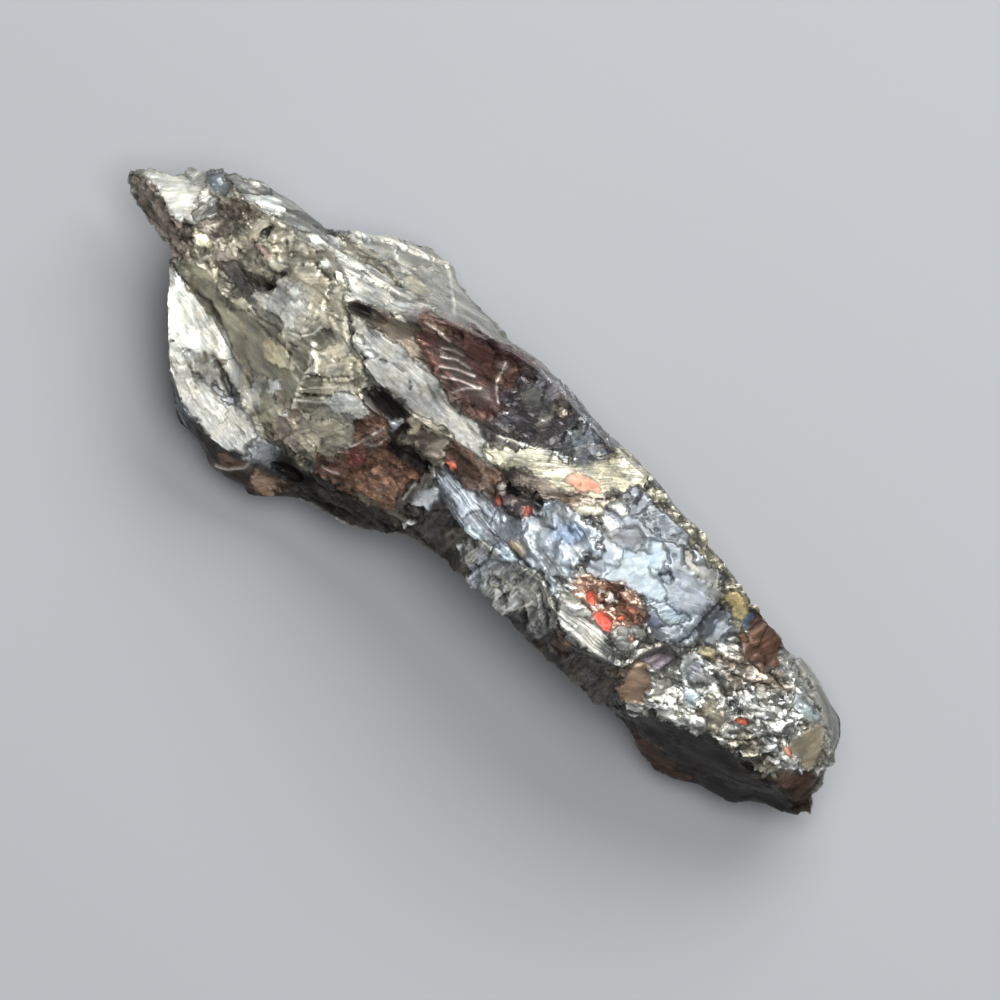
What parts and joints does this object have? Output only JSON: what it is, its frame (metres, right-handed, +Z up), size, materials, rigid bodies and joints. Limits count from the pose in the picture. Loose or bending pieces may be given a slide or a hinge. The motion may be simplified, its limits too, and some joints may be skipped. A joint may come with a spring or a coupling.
{
  "type": "raw shungite stone",
  "caption": "Long raw piece of dark, metal-bright shungite with ledges, pits and conchoidal hollows, lying flat to be shown or held.",
  "frame": {"origin": "middle of the stone's box in plan, on the surface that it rests on", "axes": "+X along the length, from the pointed beak to the blunt tail; +Y across; +Z up"},
  "size_m": [0.062, 0.0206, 0.0139],
  "materials": {
    "shungite": "half-metallic lustre on broken carbon, from silvery white facets to olive grey, slate blue, rust and black"
  },
  "bodies": {
    "root": {"stone": "shungite"}
  },
  "joints": []
}
